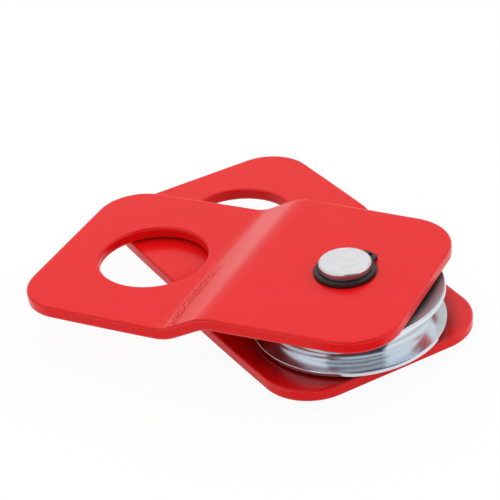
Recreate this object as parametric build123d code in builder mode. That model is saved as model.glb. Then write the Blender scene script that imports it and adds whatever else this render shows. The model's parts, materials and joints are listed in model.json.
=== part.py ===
# Snatch block: two joggled side plates that swing on one pin, with a rope sheave between them.
#
# Millimetres. The pin stands along Z and the origin is the centre of its lower end, on the ground.
# The upper plate's eye points along -X. The lower plate is the same pressing turned over and
# swung open about the pin. All heights are worked out from the sheave outwards.

import os
from math import acos, asin, atan2, cos, degrees, hypot, isclose, radians, sin, tan

from build123d import *

# Side plates
plate_thickness = 5.0
pin_to_sheave_end = 32.0
pin_to_eye_end = 123.0
width_sheave_end = 88.0
width_eye_end = 90.2
side_bow = 1.3
corner_radius_sheave_end = 20.0
corner_radius_eye_end = 18.6
eye_diameter = 43.8
pin_to_eye = 83.3
edge_rounding = 1.0

# Joggle that brings the eyes together
eye_gap = 0.6
pin_to_joggle_middle = 46.8
joggle_angle = 27.0
crest_bend_radius = 17.4
valley_bend_radius = 17.7

# Opening of the block at rest: 0 puts the two eyes in line
swing_open = 34.3

# Sheave, turned from one piece
sheave_diameter = 74.6
sheave_width = 15.8
tread_diameter = 56.0
groove_root_radius = 5.0
rim_lip = 1.9
rim_rounding = 0.7
lip_rounding = 0.3
hub_diameter = 36.0
web_recess_depth = 1.2
recess_to_tread = 4.0
recess_rounding = 0.6

# Bronze bush, pressed into the sheave
bush_wall = 2.5
bush_chamfer = 0.4

# Thrust washers
washer_thickness = 0.5
washer_diameter = 28.0
washer_edge_chamfer = 0.1

# Pin
pin_diameter = 20.0
pin_shoulder = 2.5
pin_end_rounding = 0.7
circlip_groove_depth = 0.5

# Circlips: an eccentric ring that is widest opposite its gap, with two drilled lugs
circlip_thickness = 1.5
circlip_outer_diameter = 23.0
circlip_eccentricity = 0.35
circlip_gap = 4.0
circlip_gap_direction = 93.0
circlip_edge_rounding = 0.2
lug_height = 2.7
lug_width = 7.4
lug_cut_by_gap = 0.48
lug_corner_rounding = 1.5
lug_root_rounding = 0.8
lug_hole_diameter = 2.2
lug_hole_beyond_ring = 1.0

# Clearances
pin_running_clearance = 0.08
washer_bore_clearance = 0.15
stack_gap = 0.05
sheave_side_play = 1.0
circlip_to_plate_gap = 0.1
circlip_groove_play = 0.5

# Stack along the pin, from the middle outwards
inside_width = sheave_width + 2 * washer_thickness + 4 * stack_gap + sheave_side_play
plate_outer = inside_width / 2 + plate_thickness
groove_width = circlip_thickness + circlip_groove_play
pin_half_length = plate_outer + groove_width + pin_shoulder
middle = Plane.XY.offset(pin_half_length)

# Stack along the pin, upwards from the lower plate's inner face
lower_washer_base = pin_half_length - inside_width / 2 + stack_gap
sheave_base = lower_washer_base + washer_thickness + stack_gap
sheave_middle = sheave_base + sheave_width / 2
upper_washer_base = sheave_base + sheave_width + stack_gap

pin_radius = pin_diameter / 2
groove_floor_radius = pin_radius - circlip_groove_depth
running_bore_radius = pin_radius + pin_running_clearance
bush_radius = running_bore_radius + bush_wall


def side_plate(base, label):
    """One pressed side plate. base lies midway between the plates: its x axis points away from
    the plate's eye and its z axis to the plate's outer side."""
    flat_level = inside_width / 2 + plate_thickness / 2
    eye_level = eye_gap / 2 + plate_thickness / 2
    half_run = (flat_level - eye_level) / 2 / tan(radians(joggle_angle))
    section_plane = Plane(base.origin, x_dir=base.x_dir, z_dir=-base.y_dir)
    wider = max(width_sheave_end, width_eye_end)

    with BuildPart() as plate:
        # The bent sheet, seen from its long edge
        with BuildSketch(section_plane):
            with BuildLine():
                FilletPolyline(
                    (pin_to_sheave_end, flat_level),
                    (-pin_to_joggle_middle + half_run, flat_level),
                    (-pin_to_joggle_middle - half_run, eye_level),
                    (-pin_to_eye_end, eye_level),
                    radius=[crest_bend_radius, valley_bend_radius],
                )
            trace(line_width=plate_thickness)
        extrude(amount=wider, both=True)

        # Its outline in plan: slightly tapered, with bowed sides and rounded corners, and the eye
        half_sheave_end = width_sheave_end / 2
        half_eye_end = width_eye_end / 2
        half_middle = (half_sheave_end + half_eye_end) / 2 + side_bow
        outline_middle = (pin_to_sheave_end - pin_to_eye_end) / 2
        with BuildSketch(base) as outline:
            with BuildLine():
                Line((pin_to_sheave_end, -half_sheave_end), (pin_to_sheave_end, half_sheave_end))
                Line((-pin_to_eye_end, -half_eye_end), (-pin_to_eye_end, half_eye_end))
                for side in (-1, 1):
                    ThreePointArc(
                        (pin_to_sheave_end, side * half_sheave_end),
                        (outline_middle, side * half_middle),
                        (-pin_to_eye_end, side * half_eye_end),
                    )
            make_face()
            fillet(outline.vertices().group_by(Axis.X)[-1], corner_radius_sheave_end)
            fillet(outline.vertices().group_by(Axis.X)[0], corner_radius_eye_end)
            with Locations((-pin_to_eye, 0)):
                Circle(eye_diameter / 2, mode=Mode.SUBTRACT)
        extrude(amount=plate_outer, mode=Mode.INTERSECT)

        # Every rim of the sheet and of the eye is rounded over
        walls = plate.faces().filter_by(lambda f: abs(f.normal_at().Z) < 0.01)
        fillet(walls.edges().filter_by(Axis.Z, reverse=True), edge_rounding)

        with BuildSketch(base):
            Circle(running_bore_radius)
        extrude(amount=plate_outer, mode=Mode.SUBTRACT)
    plate.part.label = label
    return plate.part


def circlip(base, label):
    """One external ring. base is the ring's lower face and its x axis points through the gap."""
    outer_radius = circlip_outer_diameter / 2
    lug_reach = outer_radius + lug_height
    lug_hole_reach = outer_radius + lug_hole_beyond_ring
    lug_offset = circlip_gap / 2 - lug_cut_by_gap + lug_width / 2
    lug_angle = degrees(asin(lug_offset / outer_radius))
    with BuildPart() as ring:
        with BuildSketch(base) as ring_outline:
            with Locations((-circlip_eccentricity, 0)):
                Circle(outer_radius)
            # Lugs, one on each side of the gap
            for side in (-1, 1):
                with PolarLocations(0, 1, start_angle=side * lug_angle):
                    with Locations((lug_reach / 2, 0)):
                        RectangleRounded(lug_reach, lug_width, lug_corner_rounding)
            with Locations((lug_reach / 2, 0)):
                Rectangle(lug_reach, circlip_gap, mode=Mode.SUBTRACT)
            lug_roots = ring_outline.vertices().filter_by(
                lambda v: isclose(hypot(v.X + circlip_eccentricity, v.Y), outer_radius)
            )
            fillet(lug_roots, lug_root_rounding)
            Circle(groove_floor_radius, mode=Mode.SUBTRACT)
            for side in (-1, 1):
                with PolarLocations(lug_hole_reach, 1, start_angle=side * lug_angle):
                    Circle(lug_hole_diameter / 2, mode=Mode.SUBTRACT)
        extrude(amount=circlip_thickness)
        outer_walls = ring.faces().filter_by(Axis.Z, reverse=True).sort_by(Axis.Z)
        rim_edges = outer_walls.edges().filter_by(Axis.Z, reverse=True)
        fillet(rim_edges, circlip_edge_rounding)
    ring.part.label = label
    return ring.part


def thrust_washer(base, label):
    """One flat washer on the pin, with its outer edges broken."""
    with BuildPart() as washer:
        with BuildSketch(base):
            Circle(washer_diameter / 2)
            Circle(pin_radius + washer_bore_clearance, mode=Mode.SUBTRACT)
        extrude(amount=washer_thickness)
        outer_edges = washer.edges().filter_by(GeomType.CIRCLE).group_by(SortBy.RADIUS)[-1]
        chamfer(outer_edges, washer_edge_chamfer)
    washer.part.label = label
    return washer.part


# Side plates
upper_base = Plane(middle.origin, x_dir=(1, 0, 0), z_dir=(0, 0, 1))
swing = radians(swing_open)
lower_base = Plane(middle.origin, x_dir=(cos(swing), -sin(swing), 0), z_dir=(0, 0, -1))
upper_side_plate = side_plate(upper_base, "upper_side_plate")
lower_side_plate = side_plate(lower_base, "lower_side_plate")

# Rope groove: its round root meets flared walls that run out to the lips of the rim
rim_radius = sheave_diameter / 2
lip_height = sheave_width / 2 - rim_lip
root_centre = tread_diameter / 2 + groove_root_radius
lip_reach = hypot(rim_radius - root_centre, lip_height)
wall_turn = atan2(lip_height, rim_radius - root_centre) + acos(groove_root_radius / lip_reach)
wall_foot = (
    root_centre + groove_root_radius * cos(wall_turn),
    groove_root_radius * sin(wall_turn),
)

# Sheave: its section, drawn in radius and height from its middle, is turned about the pin
section_top = sheave_width / 2
recess_floor = section_top - web_recess_depth
recess_rim = tread_diameter / 2 - recess_to_tread
with BuildPart() as sheave:
    with BuildSketch(Plane((0, 0, sheave_middle), x_dir=(1, 0, 0), z_dir=(0, -1, 0))) as section:
        with BuildLine():
            Polyline(
                (bush_radius, 0),
                (bush_radius, section_top),
                (hub_diameter / 2, section_top),
                (hub_diameter / 2, recess_floor),
                (recess_rim, recess_floor),
                (recess_rim, section_top),
                (rim_radius, section_top),
                (rim_radius, lip_height),
                wall_foot,
            )
            CenterArc((root_centre, 0), groove_root_radius, degrees(wall_turn), 180 - degrees(wall_turn))
            mirror(about=Plane.XZ)
        make_face()
        fillet(section.vertices().group_by(Axis.X)[-1].sort_by(Axis.Y)[1:3], lip_rounding)
        rim_corners = section.vertices().group_by(Axis.X)[-1].sort_by(Axis.Y)
        fillet([rim_corners[0], rim_corners[-1]], rim_rounding)
        floor_corners = section.vertices().filter_by(lambda v: isclose(abs(v.Y), recess_floor))
        fillet(floor_corners, recess_rounding)
    revolve(axis=Axis.Z)
sheave.part.label = "sheave"

# Bush, the width of the sheave, with its mouths chamfered
with BuildPart() as sheave_bush:
    with BuildSketch(Plane.XY.offset(sheave_base)):
        Circle(bush_radius)
        Circle(running_bore_radius, mode=Mode.SUBTRACT)
    extrude(amount=sheave_width)
    mouth_edges = sheave_bush.edges().filter_by(GeomType.CIRCLE).group_by(SortBy.RADIUS)[0]
    chamfer(mouth_edges, bush_chamfer)
sheave_bush.part.label = "sheave_bush"

# Pin: a plain bar with rounded ends and a circlip groove just outside each plate
with BuildPart() as axle_pin:
    with BuildSketch(middle):
        Circle(pin_radius)
    extrude(amount=pin_half_length, both=True)
    fillet(axle_pin.edges().filter_by(GeomType.CIRCLE), pin_end_rounding)
    for side in (-1, 1):
        with BuildSketch(middle.offset(side * plate_outer)):
            Circle(pin_radius)
            Circle(groove_floor_radius, mode=Mode.SUBTRACT)
        extrude(amount=side * groove_width, mode=Mode.SUBTRACT)
axle_pin.part.label = "axle_pin"

# Circlips, each just clear of its plate's outer face
gap_turn = radians(circlip_gap_direction)
gap_way = (cos(gap_turn), sin(gap_turn), 0)
ring_level = plate_outer + circlip_to_plate_gap
upper_ring_base = Plane(middle.offset(ring_level).origin, x_dir=gap_way, z_dir=(0, 0, 1))
lower_ring_base = Plane(middle.offset(-ring_level).origin, x_dir=gap_way, z_dir=(0, 0, -1))
upper_circlip = circlip(upper_ring_base, "upper_circlip")
lower_circlip = circlip(lower_ring_base, "lower_circlip")

# Thrust washers, one on each side of the sheave
lower_thrust_washer = thrust_washer(Plane.XY.offset(lower_washer_base), "lower_thrust_washer")
upper_thrust_washer = thrust_washer(Plane.XY.offset(upper_washer_base), "upper_thrust_washer")

os.makedirs("parts", exist_ok=True)
pieces = (
    upper_side_plate,
    lower_side_plate,
    sheave.part,
    sheave_bush.part,
    axle_pin.part,
    upper_circlip,
    lower_circlip,
    upper_thrust_washer,
    lower_thrust_washer,
)
for piece in pieces:
    export_step(piece, f"parts/{piece.label}.step")
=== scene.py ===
"""Snatch block: materials, floor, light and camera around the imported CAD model.

Everything is in metres, in the CAD model's frame. The nine CAD nodes keep their meshes and get
procedural materials, and the floor is the only mesh made here. Colours are linear RGB.
"""

import json
import math
from collections import namedtuple

import bpy
from mathutils import Euler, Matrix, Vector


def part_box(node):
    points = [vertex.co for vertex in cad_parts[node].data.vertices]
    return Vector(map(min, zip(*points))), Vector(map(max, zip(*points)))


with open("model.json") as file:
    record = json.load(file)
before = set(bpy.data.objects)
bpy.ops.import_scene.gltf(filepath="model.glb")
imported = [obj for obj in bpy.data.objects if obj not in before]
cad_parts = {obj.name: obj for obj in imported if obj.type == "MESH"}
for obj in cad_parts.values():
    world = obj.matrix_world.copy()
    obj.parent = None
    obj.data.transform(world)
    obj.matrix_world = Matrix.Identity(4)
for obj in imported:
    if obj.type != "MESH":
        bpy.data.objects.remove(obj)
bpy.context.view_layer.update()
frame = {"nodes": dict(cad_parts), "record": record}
nodes = frame["nodes"]

# Sizes and places read from the CAD model
pin_low, pin_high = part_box("axle_pin")
sheave_low, sheave_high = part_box("sheave")
plate_low, plate_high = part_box("upper_side_plate")
mounts = {mount["name"]: mount["pos_m"] for mount in frame["record"]["mounts"]}
lower_eye_x, lower_eye_y, _ = mounts["lower_shackle_eye"]

PIN_RADIUS = pin_high.x
PIN_MIDDLE = (pin_low.z + pin_high.z) / 2
SHEAVE_RADIUS = sheave_high.x
SHEAVE_MIDDLE = (sheave_low.z + sheave_high.z) / 2
PLATE_SWING = math.atan2(lower_eye_y, -lower_eye_x)

# A plate's skins, as heights from the pin's middle, outward. Both plates are one pressing
PLATE_WALL = 0.005
RAISED_OUTER = plate_high.z - PIN_MIDDLE  # around the pin
RAISED_INNER = RAISED_OUTER - PLATE_WALL
SUNKEN_OUTER = plate_low.z + PLATE_WALL - PIN_MIDDLE  # around the eye


class Graph:
    """One material's or world's node tree, emptied, with short calls for the nodes used here."""

    def __init__(self, tree):
        self.tree = tree
        tree.nodes.clear()

    def put(self, socket, value):
        """Links value to the socket if it is an output, and sets it otherwise."""
        if isinstance(value, bpy.types.NodeSocket):
            self.tree.links.new(value, socket)
        elif socket.type == "RGBA":
            socket.default_value = (*value, 1.0)
        else:
            socket.default_value = value

    def node(self, kind, inputs=None, **settings):
        """A new node with its settings, and its inputs filled by name or number."""
        made = self.tree.nodes.new(kind)
        for name, value in settings.items():
            setattr(made, name, value)
        for name, value in (inputs or {}).items():
            self.put(made.inputs[name], value)
        return made

    def math(self, operation, a, b=0.0):
        return self.node("ShaderNodeMath", {0: a, 1: b}, operation=operation).outputs[0]

    def plus(self, a, b):
        return self.math("ADD", a, b)

    def minus(self, a, b):
        return self.math("SUBTRACT", a, b)

    def times(self, first, *others):
        """The product of two or more values."""
        product = first
        for other in others:
            product = self.math("MULTIPLY", product, other)
        return product

    def larger(self, a, b):
        return self.math("MAXIMUM", a, b)

    def length(self, x, y):
        """The length of the flat vector x, y."""
        return self.math("SQRT", self.plus(self.times(x, x), self.times(y, y)))

    def turn(self, x, y):
        """The direction of the flat vector x, y, in degrees from +X towards +Y."""
        return self.times(self.math("ARCTAN2", y, x), math.degrees(1.0))

    def rise(self, value, low, high):
        """0 below low and 1 above high, with a soft step between them."""
        inputs = {"Value": value, "From Min": low, "From Max": high}
        step = self.node("ShaderNodeMapRange", inputs, interpolation_type="SMOOTHSTEP")
        return step.outputs["Result"]

    def fall(self, value, low, high):
        """1 below low and 0 above high, with a soft step between them."""
        return self.minus(1.0, self.rise(value, low, high))

    def band(self, value, middle, half, soft):
        """1 within half of middle, falling to 0 over soft."""
        away = self.math("ABSOLUTE", self.minus(value, middle))
        return self.fall(away, half, half + soft)

    def span(self, value, low, high):
        """value between 0 and 1, spread between low and high."""
        inputs = {"Value": value, "To Min": low, "To Max": high}
        return self.node("ShaderNodeMapRange", inputs).outputs["Result"]

    def mix(self, factor, a, b):
        """Colour a where factor is 0, and b where it is 1."""
        inputs = {"Factor": factor, "A": a, "B": b}
        return self.node("ShaderNodeMix", inputs, data_type="RGBA").outputs["Result"]

    def mix_shaders(self, factor, a, b):
        """A node that shows shader node a where factor is 0, and b where it is 1."""
        inputs = {0: factor, 1: a.outputs[0], 2: b.outputs[0]}
        return self.node("ShaderNodeMixShader", inputs)

    def noise(self, where, scale, detail=2.0, roughness=0.5):
        """Noise from 0 to 1, with scale cells to the metre."""
        inputs = {"Vector": where, "Scale": scale, "Detail": detail, "Roughness": roughness}
        return self.node("ShaderNodeTexNoise", inputs).outputs["Fac"]

    def bumps(self, *layers):
        """The normal after one bump for each (height, depth in metres), laid over each other."""
        normal = None
        for height, depth in layers:
            inputs = {"Height": height, "Distance": depth}
            if normal is not None:
                inputs["Normal"] = normal
            normal = self.node("ShaderNodeBump", inputs).outputs["Normal"]
        return normal

    def xyz(self, vector):
        return self.node("ShaderNodeSeparateXYZ", {0: vector}).outputs

    def combine(self, x, y, z):
        return self.node("ShaderNodeCombineXYZ", {0: x, 1: y, 2: z}).outputs[0]

    def place(self):
        """The point on the object at rest, in metres."""
        return self.node("ShaderNodeTexCoord").outputs["Object"]

    def facing(self):
        """1 where the surface at rest faces straight up or down, and 0 on an upright wall."""
        normal = self.node("ShaderNodeTexCoord").outputs["Normal"]
        return self.math("ABSOLUTE", self.xyz(normal)[2])

    def rays(self):
        """What the ray that meets this surface is, one output for each kind of ray."""
        return self.node("ShaderNodeLightPath").outputs


def new_graph(made):
    """The graph of a new material or world."""
    made.use_nodes = True
    return Graph(made.node_tree)


def new_material(name):
    """A new material with a Principled shader: the material, its graph and the shader's inputs."""
    made = bpy.data.materials.new(name)
    graph = new_graph(made)
    shader = graph.node("ShaderNodeBsdfPrincipled")
    graph.node("ShaderNodeOutputMaterial", {"Surface": shader.outputs["BSDF"]})
    return made, graph, shader.inputs


def dress(node, made):
    """Puts a material on a CAD node."""
    materials = nodes[node].data.materials
    materials.clear()
    materials.append(made)


# Red powder coat

PAINT_DEEP, PAINT_BRIGHT = (0.76, 0.0045, 0.0055), (0.82, 0.0060, 0.0070)
# Painted shade for the press marks' creases, and painted highlight for the marks between them
CREASE_SHADE_RED = (0.60, 0.001, 0.001)
SCUFF_HIGHLIGHT_RED = (0.92, 0.08, 0.08)
# A painted dark reflection and a painted highlight along the rounded rims
RIM_SHADE_RED = (0.36, 0.002, 0.003)
RIM_HIGHLIGHT_RED = (0.90, 0.06, 0.06)
# Painted shadow of the circlip, and painted shade between the plates near the sheave
CIRCLIP_SHADOW_RED = (0.05, 0.001, 0.001)
GAP_SHADE_RED = (0.06, 0.004, 0.005)
PAINT_ROUGHNESS = (0.17, 0.23)
PAINT_IOR = 1.4
# Specular level: the plain coat's, how much creases and sheared edges take off it, and the least
PAINT_SHINE, CREASE_DULLS, EDGE_DULLS, LEAST_SHINE = 0.5, 0.45, 0.20, 0.05

# The press tool's strip of marks in the valley bend, and beside it a line lightened with painted
# highlight, along the plate
MARKS = {"middle": -0.0536, "half": 0.0017, "soft": 0.0009}
HIGHLIGHT_LINE = {"middle": -0.0558, "half": 0.00018, "soft": 0.0002}
# Across the plate: where both fade out, where both turn towards the pin, and how far they turn
MARKS_END = (-0.010, 0.004)
TURN_IN_END, TURN_IN = (-0.046, -0.028), 0.0018
# How far the creases wander along the plate, and how slowly they change across it
CREASE_WAVE, CREASE_STRETCH = 0.0016, 0.22
# Where the same noise makes a crease, darkened with painted shade, and where it makes a mark
# lightened with painted highlight
CREASE_CUT, SCUFF_HIGHLIGHT_CUT = (0.51, 0.53), (0.43, 0.46)

# Around the pin: the soft and ragged edge of the painted shade between the plates, and the ring of
# painted shadow that the circlip casts
SHADE_SOFT, SHADE_RAGGED = 0.0095, 0.004
CIRCLIP_SHADOW_RING = (PIN_RADIUS + 0.0019, PIN_RADIUS + 0.0028)

# Fades of height that tell the skins from what lies below or above them
TO_SUNKEN_OUTER = (SUNKEN_OUTER - 0.0007, SUNKEN_OUTER - 0.0001)
TO_RAISED_OUTER = (RAISED_OUTER - 0.0010, RAISED_OUTER - 0.0002)
OFF_RAISED_INNER = (RAISED_INNER + 0.0002, RAISED_INNER + 0.0008)

# Fades and bands of facing: the sheared wall of an edge, a flat skin, and on a rounded rim the
# stretches that take a painted dark reflection and a painted highlight
SHEARED_WALL, FLAT_SKIN = (0.1, 0.4), (0.6, 0.8)
RIM_SHADE_BAND = {"middle": 0.60, "half": 0.06, "soft": 0.07}
RIM_HIGHLIGHT_BAND = {"middle": 0.33, "half": 0.08, "soft": 0.08}
BROKEN_CUT = (0.35, 0.60)


def plate_places(g, turned_over):
    """Along and across a plate and its height outward from the pin's middle, as on the upper plate.
    The lower plate is the upper plate's pressing turned over and swung."""
    x, y, z = g.xyz(g.place())
    if not turned_over:
        return x, y, g.minus(z, PIN_MIDDLE)
    cos, sin = math.cos(PLATE_SWING), math.sin(PLATE_SWING)
    along = g.minus(g.times(x, cos), g.times(y, sin))
    across = g.minus(g.times(x, -sin), g.times(y, cos))
    return along, across, g.minus(PIN_MIDDLE, z)


def press_marks(g, along, across, height, facing):
    """Creases, darkened with painted shade, and the marks between them and the line beside them,
    lightened with painted highlight, in the valley bend, as two masks, on the outer skin only. They
    turn in at the edge that faces the viewer on the upper plate, and fade out past the plate's
    middle."""
    outer_skin = g.times(g.rise(height, *TO_SUNKEN_OUTER), g.rise(facing, *FLAT_SKIN))
    on_skin = g.times(outer_skin, g.fall(across, *MARKS_END))
    straight = g.minus(along, g.times(g.fall(across, *TURN_IN_END), TURN_IN))
    strip = g.times(g.band(straight, **MARKS), on_skin)
    line = g.times(g.band(straight, **HIGHLIGHT_LINE), on_skin)

    wavy = g.plus(along, g.times(g.noise(g.place(), scale=90.0), CREASE_WAVE))
    stretched = g.combine(wavy, g.times(across, CREASE_STRETCH), 0.0)
    creased = g.noise(stretched, scale=2300.0, roughness=0.6)
    crease_shade = g.times(g.rise(creased, *CREASE_CUT), strip)
    scuff_highlight = g.larger(g.times(g.fall(creased, *SCUFF_HIGHLIGHT_CUT), strip), line)
    return crease_shade, scuff_highlight


def around_pin(g, height, shade_reach):
    """Painted shade on the inner skin, where the plates shade each other around the sheave, and a
    ring of painted shadow cast by the circlip on the outer skin, as two masks."""
    place = g.place()
    x, y, _ = g.xyz(place)
    radius = g.length(x, y)
    ragged = g.plus(radius, g.times(g.noise(place, scale=130.0, detail=3.0), SHADE_RAGGED))
    gap_shade = g.fall(ragged, shade_reach, shade_reach + SHADE_SOFT)
    gap_shade = g.times(gap_shade, g.fall(height, *OFF_RAISED_INNER))
    circlip_shadow = g.times(g.fall(radius, *CIRCLIP_SHADOW_RING), g.rise(height, *TO_RAISED_OUTER))
    return gap_shade, circlip_shadow


def powder_coat(name, turned_over, shade_reach):
    """turned_over is for the lower plate. The reach is how far from the pin's axis the painted
    shade between the plates is at full strength."""
    made, g, shader = new_material(name)
    place = g.place()
    facing = g.facing()
    along, across, height = plate_places(g, turned_over)
    crease_shade, scuff_highlight = press_marks(g, along, across, height, facing)
    gap_shade, circlip_shadow = around_pin(g, height, shade_reach)

    # The coat is slightly uneven in depth. Along the upper half of each rim's rounding a painted
    # dark reflection is laid, and along the lower half a painted highlight, both broken up by noise
    broken = g.rise(g.noise(place, scale=170.0), *BROKEN_CUT)
    rim_shade = g.times(g.band(facing, **RIM_SHADE_BAND), broken)
    rim_highlight = g.times(g.band(facing, **RIM_HIGHLIGHT_BAND), broken)
    colour = g.mix(g.noise(place, scale=60.0, detail=3.0), PAINT_DEEP, PAINT_BRIGHT)
    for mask, strength, tint in (
        # painted shade in the press marks' creases
        (crease_shade, 0.95, CREASE_SHADE_RED),
        # painted highlight on the press marks between the creases and on the line beside them
        (scuff_highlight, 0.5, SCUFF_HIGHLIGHT_RED),
        # painted dark reflection on the upper half of each rim's rounding
        (rim_shade, 0.6, RIM_SHADE_RED),
        # painted highlight on the lower half of each rim's rounding
        (rim_highlight, 0.4, RIM_HIGHLIGHT_RED),
        # painted shadow of the circlip
        (circlip_shadow, 0.85, CIRCLIP_SHADOW_RED),
        # painted shade between the plates near the sheave
        (gap_shade, 0.7, GAP_SHADE_RED),
    ):
        colour = g.mix(g.times(mask, strength), colour, tint)
    g.put(shader["Base Color"], colour)

    # The creases and the sheared edges shine less
    edge = g.fall(facing, *SHEARED_WALL)
    shine = g.minus(PAINT_SHINE, g.times(crease_shade, CREASE_DULLS))
    shine = g.minus(shine, g.times(edge, EDGE_DULLS))
    g.put(shader["Specular IOR Level"], g.larger(shine, LEAST_SHINE))
    g.put(shader["Roughness"], g.span(g.noise(place, scale=140.0), *PAINT_ROUGHNESS))
    g.put(shader["IOR"], PAINT_IOR)

    # Orange peel at two sizes, the sheared edge's unevenness under the coat, and the press marks
    peel = g.noise(place, scale=420.0, roughness=0.45)
    fine_peel = g.noise(place, scale=1500.0, detail=1.0)
    sheared = g.times(g.noise(place, scale=260.0, detail=3.0, roughness=0.6), edge)
    pressed = g.minus(scuff_highlight, crease_shade)
    layers = (peel, 0.000012), (fine_peel, 0.000003), (sheared, 0.00006), (pressed, 0.00004)
    g.put(shader["Normal"], g.bumps(*layers))
    return made


dress("upper_side_plate", powder_coat("plate_paint_upper", False, shade_reach=0.0420))
dress("lower_side_plate", powder_coat("plate_paint_lower", True, shade_reach=0.0370))


# Turned metal: zinc on the sheave, bronze in its bush, steel on the washers

ZINC, ZINC_ROUGHNESS = (0.80, 0.865, 0.92), (0.12, 0.17)
BRONZE, BRONZE_ROUGHNESS = (0.62, 0.38, 0.16), (0.22, 0.34)
STEEL, STEEL_ROUGHNESS = (0.60, 0.60, 0.61), (0.22, 0.36)
TURNING_DARKENS = 0.88
# The turning rings spread reflections across themselves, and little along themselves
RING_ANISOTROPY, RING_ROTATION = 0.7, 0.25
RING_DEPTH = 0.000002
SHEAVE_RING_DEPTH, SHEAVE_RING_PITCH = 0.0000015, 0.00035
# The sheave's flat sides are told by facing. They are rougher than its groove, and darkened with a
# painted dark reflection: its strength at the rim and well inside it, and the fade of the radius
# between the two
SIDE_FLAT, SIDE_ROUGHER = (0.985, 0.995), 0.20
SIDE_SHADE, SIDE_SHADE_SPAN = (0.08, 0.05, 0.055), (0.35, 0.95)
INSIDE_RIM = (SHEAVE_RADIUS - 0.0073, SHEAVE_RADIUS - 0.0001)


def turning(g, colour, roughness, ring_pitch, middle=0.0):
    """The colour and roughness of metal turned about the pin's axis, and its rings as a height."""
    place = g.place()
    x, y, z = g.xyz(place)
    profile = g.combine(g.length(x, y), 0.0, g.minus(z, middle))
    rings = g.noise(profile, scale=1.0 / ring_pitch, detail=3.0, roughness=0.65)
    cloud = g.noise(place, scale=220.0, roughness=0.6)
    tone = g.times(g.plus(rings, cloud), 0.5)
    darker = tuple(TURNING_DARKENS * channel for channel in colour)
    return g.mix(tone, darker, colour), g.span(tone, *roughness), rings


def turned_metal(name, colour, roughness, ring_pitch):
    made, g, shader = new_material(name)
    tinted, rough, rings = turning(g, colour, roughness, ring_pitch)
    g.put(shader["Base Color"], tinted)
    g.put(shader["Metallic"], 1.0)
    g.put(shader["Roughness"], rough)
    g.put(shader["Normal"], g.bumps((rings, RING_DEPTH)))
    return made


def sheave_zinc():
    made, g, shader = new_material("sheave_zinc")
    tinted, rough, rings = turning(g, ZINC, ZINC_ROUGHNESS, SHEAVE_RING_PITCH, SHEAVE_MIDDLE)
    x, y, _ = g.xyz(g.place())
    side = g.rise(g.facing(), *SIDE_FLAT)
    inside = g.fall(g.length(x, y), *INSIDE_RIM)
    # painted dark reflection on the flat sides, strongest well inside the rim
    side_shade = g.times(side, g.span(inside, *SIDE_SHADE_SPAN))
    g.put(shader["Base Color"], g.mix(side_shade, tinted, SIDE_SHADE))
    g.put(shader["Metallic"], 1.0)
    g.put(shader["Roughness"], g.plus(rough, g.times(side, SIDE_ROUGHER)))
    g.put(shader["Normal"], g.bumps((rings, SHEAVE_RING_DEPTH)))
    around = g.node("ShaderNodeTangent", direction_type="RADIAL", axis="Z")
    g.put(shader["Tangent"], around.outputs["Tangent"])
    g.put(shader["Anisotropic"], RING_ANISOTROPY)
    g.put(shader["Anisotropic Rotation"], RING_ROTATION)
    return made


dress("sheave", sheave_zinc())
dress("sheave_bush", turned_metal("bush_bronze", BRONZE, BRONZE_ROUGHNESS, ring_pitch=0.0003))
for end in ("upper", "lower"):
    steel = turned_metal("washer_steel_" + end, STEEL, STEEL_ROUGHNESS, ring_pitch=0.0004)
    dress(end + "_thrust_washer", steel)


# Pin: matt zinc on the end faces, polished where the rim is rounded, and on the wall rougher and
# darkened with painted shade

PIN_DULL_WHITE, PIN_WHITE = (0.80, 0.80, 0.82), (0.92, 0.92, 0.935)
WALL_SHADE_GREY, WALL_SHADE = (0.42, 0.40, 0.42), 0.8
PIN_ROUGHNESS, END_ROUGHER, WALL_ROUGHER = (0.16, 0.26), 0.22, 0.15
# Off the end faces and on them: how metallic the zinc is, and the share of the grain's full depth
PIN_METALLIC, GRAIN_SHARE = (1.0, 0.65), (0.15, 1.0)
# Fades of the radius off an end face, of facing off the wall, and of the grain from dull to white
PIN_END = (PIN_RADIUS - 0.0008, PIN_RADIUS - 0.0005)
PIN_WALL = (0.15, 0.40)
GRAIN_CUT = (0.35, 0.65)


def pin_zinc():
    made, g, shader = new_material("pin_zinc")
    place = g.place()
    x, y, _ = g.xyz(place)
    end_face = g.fall(g.length(x, y), *PIN_END)
    wall = g.fall(g.facing(), *PIN_WALL)
    grain = g.noise(place, scale=2600.0, detail=3.0, roughness=0.7)
    mottle = g.noise(place, scale=420.0, detail=4.0, roughness=0.6)
    tone = g.times(g.plus(grain, mottle), 0.5)

    clean = g.mix(g.rise(tone, *GRAIN_CUT), PIN_DULL_WHITE, PIN_WHITE)
    # painted shade darkens the wall
    g.put(shader["Base Color"], g.mix(g.times(wall, WALL_SHADE), clean, WALL_SHADE_GREY))
    g.put(shader["Metallic"], g.span(end_face, *PIN_METALLIC))
    rough = g.plus(g.times(end_face, END_ROUGHER), g.span(mottle, *PIN_ROUGHNESS))
    g.put(shader["Roughness"], g.plus(rough, g.times(wall, WALL_ROUGHER)))
    height = g.times(g.span(end_face, *GRAIN_SHARE), tone)
    g.put(shader["Normal"], g.bumps((height, 0.00002)))
    return made


dress("axle_pin", pin_zinc())


# Circlips: black oiled spring steel

OILED_BLACK, RUBBED_BLACK = (0.016, 0.015, 0.015), (0.045, 0.043, 0.042)
BLACK_ROUGHNESS, RUBBED_CUT = (0.24, 0.38), (0.4, 0.7)


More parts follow.
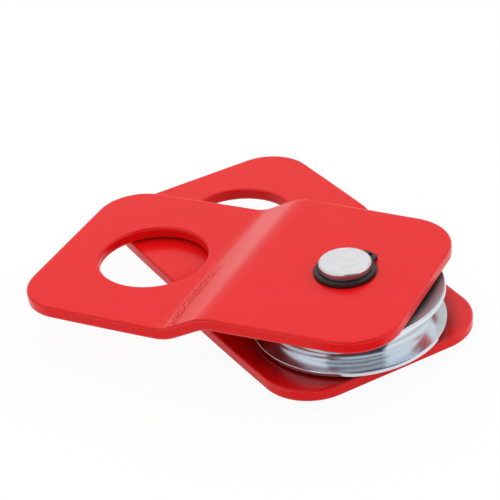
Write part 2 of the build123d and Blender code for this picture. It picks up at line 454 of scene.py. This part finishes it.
def spring_steel():
    made, g, shader = new_material("ring_spring_steel")
    place = g.place()
    rubbed = g.noise(place, scale=700.0, detail=4.0, roughness=0.6)
    g.put(shader["Base Color"], g.mix(g.rise(rubbed, *RUBBED_CUT), OILED_BLACK, RUBBED_BLACK))
    g.put(shader["Roughness"], g.span(rubbed, *BLACK_ROUGHNESS))
    g.put(shader["Normal"], g.bumps((g.noise(place, scale=1800.0), 0.000006)))
    return made


black = spring_steel()
dress("upper_circlip", black)
dress("lower_circlip", black)


# Stage: a white floor that keeps the block's shadow. A dark patch of painted shade lies on it in
# front of the block, out of the picture, and shows in gloss only, as a painted reflection

WHITE = (1.0, 1.0, 1.0)
FLOOR_HALF = 3.0
FLOOR_GREY = (0.90, 0.90, 0.90)
# How much of the floor is plain white, and not shaded, to the camera and in gloss
PLAIN_TO_CAMERA, PLAIN_IN_GLOSS = 0.95, 0.60
# The painted shade's direction from the block, in degrees, and the radii between which it fades in
# and out
GLOSS_SHADE_BLACK = (0.02, 0.028, 0.05)
GLOSS_SHADE_TURN = {"middle": -59.0, "half": 31.0, "soft": 9.0}
GLOSS_SHADE_FROM, GLOSS_SHADE_TO = (0.052, 0.062), (0.095, 0.130)


def floor_white():
    made = bpy.data.materials.new("floor_white")
    g = new_graph(made)
    rays = g.rays()
    shaded = g.node("ShaderNodeBsdfDiffuse", {"Color": FLOOR_GREY})
    plain = g.node("ShaderNodeEmission", {"Color": WHITE, "Strength": 1.0})
    # painted reflection: the floor in front of the block is dark in gloss only
    gloss_shade = g.node("ShaderNodeBsdfDiffuse", {"Color": GLOSS_SHADE_BLACK})

    seen = g.larger(rays["Is Camera Ray"], rays["Is Transmission Ray"])
    seen = g.times(seen, PLAIN_TO_CAMERA)
    seen = g.larger(seen, g.times(rays["Is Glossy Ray"], PLAIN_IN_GLOSS))
    x, y, _ = g.xyz(g.place())
    radius = g.length(x, y)
    on_gloss_shade = g.times(g.band(g.turn(x, y), **GLOSS_SHADE_TURN), g.rise(radius, *GLOSS_SHADE_FROM))
    on_gloss_shade = g.times(on_gloss_shade, g.fall(radius, *GLOSS_SHADE_TO), rays["Is Glossy Ray"])

    covered = g.mix_shaders(on_gloss_shade, g.mix_shaders(seen, shaded, plain), gloss_shade)
    g.node("ShaderNodeOutputMaterial", {"Surface": covered.outputs[0]})
    return made


def make_floor():
    mesh = bpy.data.meshes.new("floor")
    far = FLOOR_HALF
    corners = [(-far, -far, 0.0), (far, -far, 0.0), (far, far, 0.0), (-far, far, 0.0)]
    mesh.from_pydata(corners, [], [(0, 1, 2, 3)])
    mesh.materials.append(floor_white())
    floor = bpy.data.objects.new("floor", mesh)
    bpy.context.scene.collection.objects.link(floor)


make_floor()


# World: white to the camera, a studio to everything else. Heights are the z of a direction, from
# -1 below to 1 above

# Gloss sees a wall that is brightest just above the floor: its light there and higher up, and the
# fade between the two. Laid over it are the softboxes, a dim front below them, and the dark between
# them, above the camera. An area's turn is its middle, half width and soft edge, in degrees, and it
# has no fade in where that lies below -1
WALL_LIGHT, WALL_DULLS = (0.95, 0.63), (0.08, 0.27)
Area = namedtuple("Area", "colour turn fade_in fade_out")
SOFTBOXES = Area((0.93, 0.96, 1.0), (-40.0, 120.0, 10.0), (0.45, 0.65), (0.93, 0.98))
DIM_FRONT = Area((0.13, 0.16, 0.20), (-58.0, 42.0, 10.0), (-1.2, -1.1), (0.42, 0.62))
DARK_GAP = Area((0.012, 0.022, 0.050), (-43.0, 31.0, 4.0), (0.30, 0.55), (0.95, 0.99))

# The matt colours are lit by a broad soft source from back left to back right, a white ceiling, and
# a room in front that is bright only near the floor. turn is the middle of a quarter, in degrees
Quarter = namedtuple("Quarter", "turn near_floor halfway_up")
QUARTERS = (
    Quarter(45, 0.6, 2.05),
    Quarter(135, 0.7, 1.65),
    Quarter(-135, 1.5, 0.15),
    Quarter(-45, 0.9, 0.15),
)
QUARTER_EDGE = (0.5, 0.866)  # cosines of 60 and 30 degrees from its centre
FLOOR_LIGHT_TO, CEILING_FROM, CEILING_LIGHT = (0.22, 0.42), (0.65, 0.85), 1.18


def glossy_studio(g, x, y, z):
    """What gloss sees in the direction x, y, z."""
    wall = g.span(g.rise(z, *WALL_DULLS), *WALL_LIGHT)
    studio = g.combine(wall, wall, wall)
    turn = g.turn(x, y)
    for area in (SOFTBOXES, DIM_FRONT, DARK_GAP):
        between = g.times(g.rise(z, *area.fade_in), g.fall(z, *area.fade_out))
        studio = g.mix(g.times(g.band(turn, *area.turn), between), studio, area.colour)
    return studio


def matt_studio(g, x, y, z):
    """What lights the matt colours from the direction x, y, z."""
    near_floor = g.fall(z, *FLOOR_LIGHT_TO)
    ceiling = g.rise(z, *CEILING_FROM)
    halfway_up = g.minus(g.minus(1.0, near_floor), ceiling)
    light = g.times(ceiling, CEILING_LIGHT)
    flat = g.length(x, y)
    for quarter in QUARTERS:
        centre = math.radians(quarter.turn)
        ahead = g.plus(g.times(x, math.cos(centre)), g.times(y, math.sin(centre)))
        toward = g.rise(g.math("DIVIDE", ahead, flat), *QUARTER_EDGE)
        low = g.times(near_floor, quarter.near_floor)
        high = g.times(halfway_up, quarter.halfway_up)
        light = g.plus(light, g.times(toward, g.plus(low, high)))
    return g.combine(light, light, light)


def studio_world():
    world = bpy.data.worlds.new("studio")
    g = new_graph(world)
    rays = g.rays()
    x, y, z = g.xyz(g.node("ShaderNodeTexCoord").outputs["Generated"])
    studio = g.mix(rays["Is Glossy Ray"], matt_studio(g, x, y, z), glossy_studio(g, x, y, z))
    lit = g.node("ShaderNodeBackground", {"Color": studio, "Strength": 1.0})
    plain = g.node("ShaderNodeBackground", {"Color": WHITE, "Strength": 1.0})
    blend = g.mix_shaders(rays["Is Camera Ray"], lit, plain)
    g.node("ShaderNodeOutputWorld", {"Surface": blend.outputs[0]})
    bpy.context.scene.world = world


studio_world()


# Camera: found by fitting the CAD outlines to the photograph

CAMERA_PLACE = (0.231529, -0.500878, 0.381396)
CAMERA_DEGREES = (58.5244, 5.0828, 25.3186)
CAMERA_LENS, CAMERA_SENSOR = 125.057, 36.0  # millimetres
CAMERA_NEAREST = 0.01


def make_camera():
    data = bpy.data.cameras.new("camera")
    data.lens = CAMERA_LENS
    data.sensor_width = CAMERA_SENSOR
    data.clip_start = CAMERA_NEAREST
    camera = bpy.data.objects.new("camera", data)
    camera.location = CAMERA_PLACE
    camera.rotation_euler = Euler([math.radians(angle) for angle in CAMERA_DEGREES], "XYZ")
    bpy.context.scene.collection.objects.link(camera)
    bpy.context.scene.camera = camera


make_camera()
bpy.context.scene.view_settings.view_transform = "Standard"
